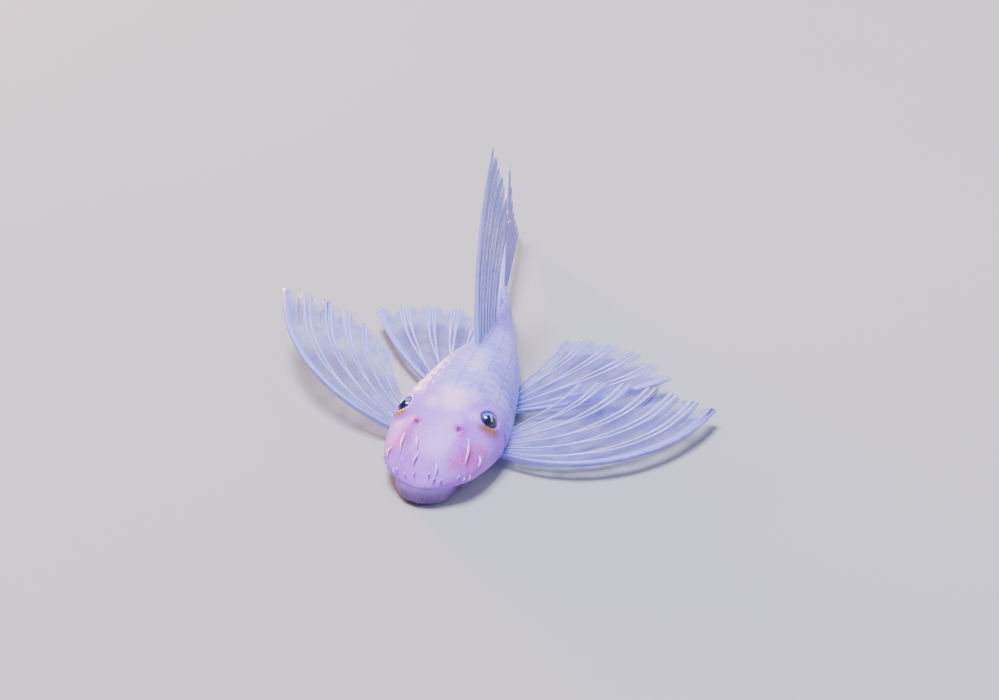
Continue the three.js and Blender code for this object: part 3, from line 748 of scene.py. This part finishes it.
# point of a fin: root plus reach times the sine and cosine of the ray's angle, plus its rise
def finPoint(fin, u, v, stretch=1.0):
    reach = bodyLength * curveThrough(fin["reach"], 1, v) * stretch * u
    angle = np.radians(curveThrough(fin["fan"], 1, v) + curveThrough(fin["fan"], 2, v) * u / 2)
    lift = curveThrough(fin["fan"], 3, v) * reach + fin["arch"] * reach * (1 - u)
    root = fin["front"] + (fin["rear"] - fin["front"]) * np.asarray(v)[..., None]
    return (root + fin["along"] * (reach * np.sin(angle))[..., None]
            + fin["out"] * (reach * np.cos(angle))[..., None] + fin["off"] * lift[..., None])


def finNormal(fin, u, v):
    u = np.maximum(u, 0.05)
    alongRay = finPoint(fin, u + 0.01, v) - finPoint(fin, u, v)
    acrossRays = finPoint(fin, u, v + 0.01) - finPoint(fin, u, v - 0.01)
    return unit(np.cross(alongRay, acrossRays))


finLook = {
    "web": (0.14, 0.17, 0.85, 1),       # bluish lilac membrane
    "ray": (0.50, 0.52, 1.0, 1),        # whiter rays
    "spine": (0.25, 0.29, 1.0, 1),      # stout leading spines
    "cloud": (0.5, 0.42, 0.95, 1), "speck": (0.85, 0.85, 1, 1),
    "webAlpha": 0.32,
    "rayThickness": 0.46, "webThickness": 0.06,
}


def finMaterial():
    material, n, shader = newMaterial("finMembrane")
    place = n.add("ShaderNodeTexCoord").outputs["Object"]
    of = {m: n.mask(m) for m in ("ray", "tip", "spine", "dense")}
    patches, speckles = mottled(n, 260.0, 2200.0)
    colour = n.blend(of["ray"], finLook["web"], finLook["ray"])
    colour = n.blend(n.math("MULTIPLY", of["spine"], 0.9), colour, finLook["spine"])
    colour = n.blend(n.math("MULTIPLY", patches, 0.2), colour, finLook["cloud"])
    colour = n.blend(n.math("MULTIPLY", speckles, 0.15), colour, finLook["speck"])
    n.feed(shader, "Base Color", colour)
    n.feed(shader, "Roughness", n.span(of["ray"], 0, 1, 0.28, 0.45))
    cloud = n.span(n.noise(place, 420.0, 3), 0.3, 0.7, -0.12, 0.12)
    web = n.math("SUBTRACT", finLook["webAlpha"], n.math("MULTIPLY", n.span(of["tip"], 0.2, 0.6), 0.1))
    web = n.math("ADD", web, n.math("MULTIPLY", n.span(of["tip"], 0.6, 0.85), 0.1))
    web = n.math("MULTIPLY", web, n.span(of["tip"], 1.0, 0.9, 0.35, 1.0))
    web = n.math("ADD", n.math("ADD", web, cloud), n.math("MULTIPLY", of["dense"], 0.35))
    opaque = n.math("ADD", web, n.math("MULTIPLY", of["ray"], 0.95), clamp=True)
    n.feed(shader, "Alpha", n.math("MAXIMUM", opaque, of["spine"]))
    segments = n.noise(place, 2600.0, 2)
    bump = n.add("ShaderNodeBump", {"Strength": 0.3, "Distance": 0.00006, "Height": segments})
    n.feed(shader, "Normal", bump.outputs[0])
    setShader(shader, Coat_Weight=0.25, Coat_Roughness=0.2)
    return material


finSurface = finMaterial()


# the fin is a closed slab whose half thickness swells over each ray; every ray forks twice on its way
# out, its segments ring it, and the margin runs from ray tip to ray tip in shallow scallops
def makeFin(name, fin):
    rng = np.random.default_rng(sum(map(ord, name)))
    rows, columns = fin["rows"], fin["columns"]
    u = np.linspace(0, 1, rows)[:, None]
    v = np.linspace(0, 1, columns)[None, :]
    rays = fin["rays"] - 1
    cell = v * rays
    offset = cell - np.round(cell)              # -0.5 to 0.5 about the nearest ray
    onSpine = smooth((0.5 - cell) / 0.06) + 0 * u       # the first half cell belongs to the leading spine
    fork1 = 0.125 * smooth((u - 0.28) / 0.35)
    fork2 = 0.06 * smooth((u - 0.6) / 0.3)
    apart = mix(np.abs(np.abs(np.abs(offset) - fork1) - fork2), np.abs(cell - 0.14), onSpine)
    width = mix(mix(0.12, 0.042, smooth(u / 0.85)), mix(0.24, 0.15, u), onSpine)
    ray = np.exp(-(apart / width) ** 2 * 1.4)
    joints = 1 + 0.14 * np.sin(u * 150 + 3 * np.sin(cell * 9)) * smooth((u - 0.25) / 0.2) * (1 - onSpine)
    stout = mix(finLook["rayThickness"], fin["spine"] * 0.8, onSpine) * mix(1, 0.35, u)
    thickness = mix(finLook["webThickness"], stout, ray) * joints
    trough = smooth((np.abs(offset) - 0.2) / 0.3)
    fine = 0.5 + 0.5 * np.cos(cell * 8 * np.pi)
    shorter = 0.6 * fin["ragged"] * trough + 0.022 * fine * (1 - onSpine)
    shorter = shorter + 0.015 * rng.random(columns)[None, :]
    stretch = 1 - shorter * u ** 3
    wave = 0.14 * np.sin(cell * np.pi + 0.6) * u * (1 - 0.4 * u)
    middle = finPoint(fin, u + 0 * v, v + 0 * u, stretch)
    normal = finNormal(fin, u + 0 * v, v + 0 * u)
    middle = middle + normal * wave[..., None]
    half = thickness * np.minimum(smooth((1 - u) / 0.03 + 0.15), 1) / 2
    rows, columns = half.shape
    count = rows * columns
    faces = gridFaces(rows, columns).tolist()
    faces += (gridFaces(rows, columns, start=count)[:, ::-1]).tolist()
    rim = list(range(columns - 1)) + [r * columns + columns - 1 for r in range(rows - 1)]
    rim += [count - columns + k for k in range(columns - 1, 0, -1)]
    rim += [r * columns for r in range(rows - 1, 0, -1)]
    faces += [[b, a, a + count, b + count] for a, b in zip(rim, rim[1:] + rim[:1])]
    raised = normal * half[..., None]
    points = np.concatenate([(middle + raised).reshape(-1, 3), (middle - raised).reshape(-1, 3)])
    points[:, 2] = np.maximum(points[:, 2], 0.02)
    piece = newPiece(name.replace("_fin", "_membrane"), points, faces)
    outward(piece)
    dense = 0.6 * smooth((0.2 - u) / 0.2) + 0.7 * (name in ("dorsal_fin", "caudal_fin")) + 0 * v
    for key, values in {"ray": ray, "tip": u + 0 * v, "spine": onSpine * ray, "dense": dense}.items():
        addValues(piece, key, np.tile(np.clip(values, 0, 1).ravel(), 2))
    piece.data.materials.append(finSurface)
    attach(piece, "root")
    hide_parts(name)


for name, fin in fins.items():
    makeFin(name, fin)
print("stage: fins made")

# stage: a pale floor, soft light and the camera at the photograph's angle
stageLook = {
    "floor": (0.46, 0.46, 0.50, 1), "cloud": (0.40, 0.40, 0.45, 1),
    "flat": 0.9, "reach": 1.8,          # radius of the flat floor and of the sweep's edge
    "rise": 0.8,                        # height of that edge
    "world": (0.72, 0.76, 0.92), "worldStrength": 0.45,
}


# the floor is a disc whose rim sweeps up as a backdrop: height rises as an even S from the flat
# to the edge
def makeFloor():
    flat, reach = stageLook["flat"], stageLook["reach"]
    radius = np.concatenate([np.linspace(0.01, flat, 12), np.linspace(flat, reach, 30)[1:]])
    turn = np.linspace(0, 2 * np.pi, 96, endpoint=False)
    height = stageLook["rise"] * smooth((radius - flat) / (reach - flat))[:, None] + 0 * turn
    points = np.stack([np.outer(radius, np.cos(turn)), np.outer(radius, np.sin(turn)), height], -1)
    faces = gridFaces(len(radius), len(turn), True)[:, ::-1].tolist() + [list(range(len(turn)))]
    mesh = bpy.data.meshes.new("floor")
    mesh.from_pydata(points.reshape(-1, 3).tolist(), [], faces)
    mesh.update()
    mesh.polygons.foreach_set("use_smooth", np.ones(len(mesh.polygons), bool))
    floor = bpy.data.objects.new("floor", mesh)
    bpy.context.scene.collection.objects.link(floor)
    material, n, shader = newMaterial("floorPaper")
    place = n.add("ShaderNodeTexCoord").outputs["Object"]
    cloud = n.span(n.noise(place, 5.0, 3), 0.3, 0.7)
    colour = n.blend(n.math("MULTIPLY", cloud, 0.5), stageLook["floor"], stageLook["cloud"])
    n.feed(shader, "Base Color", colour)
    setShader(shader, Roughness=0.85)
    mesh.materials.append(material)


# camera: looks along +Y and down, at a distance and focal length that give the photograph's perspective
view = {
    "down": 32.0, "focalPixels": 1770.0, "width": 999, "height": 700,
    "distance": 232.0,                  # from the snout's point on the floor, in millimetres
    "snoutPixel": (417, 506),           # where that point falls in the frame
    "sensor": 36.0,                     # width of the camera's sensor
}


def makeCamera():
    data = bpy.data.cameras.new("camera")
    data.sensor_width = view["sensor"]
    data.lens = view["sensor"] * view["focalPixels"] / view["width"]
    down = math.radians(view["down"])
    ahead = np.array([0, math.cos(down), -math.sin(down)])
    right = np.array([1.0, 0, 0])
    up = np.cross(right, ahead)
    scale = view["distance"] / view["focalPixels"]
    aside = (view["snoutPixel"][0] - view["width"] / 2) * scale
    below = (view["snoutPixel"][1] - view["height"] / 2) * scale
    data.clip_start, data.clip_end = 0.005, 10
    camera = bpy.data.objects.new("camera", data)
    camera.location = metres(-ahead * view["distance"] - right * aside + up * below)
    camera.rotation_euler = (math.radians(90 - view["down"]), 0, 0)
    bpy.context.scene.collection.objects.link(camera)
    bpy.context.scene.camera = camera


# place in metres, power in watts, width and colour of each lamp
lamps = {
    "overhead": ((-0.2, 0.16, 1.15), 31.0, 0.42, (0.93, 0.90, 1.0)),
    "warmRim": ((-0.42, 0.6, 0.12), 11.0, 0.12, (1.0, 0.45, 0.10)),
    "coolSide": ((1.0, -0.2, 0.5), 4.0, 0.5, (0.66, 0.74, 1.0)),
}


def softLight(name, place, power, size, colour):
    data = bpy.data.lights.new(name, "AREA")
    data.energy, data.size, data.color = power, size, colour
    lamp = bpy.data.objects.new(name, data)
    lamp.location = place
    lamp.rotation_euler = (Vector((0, 0, 0.01)) - Vector(place)).to_track_quat("-Z", "Y").to_euler()
    bpy.context.scene.collection.objects.link(lamp)


makeFloor()
makeCamera()
for name, lamp in lamps.items():
    softLight(name, *lamp)
world = bpy.data.worlds.new("studio")
world.use_nodes = True
background = world.node_tree.nodes["Background"]
background.inputs[0].default_value = (*stageLook["world"], 1)
background.inputs[1].default_value = stageLook["worldStrength"]
bpy.context.scene.world = world
print("stage: floor, camera and lights made")
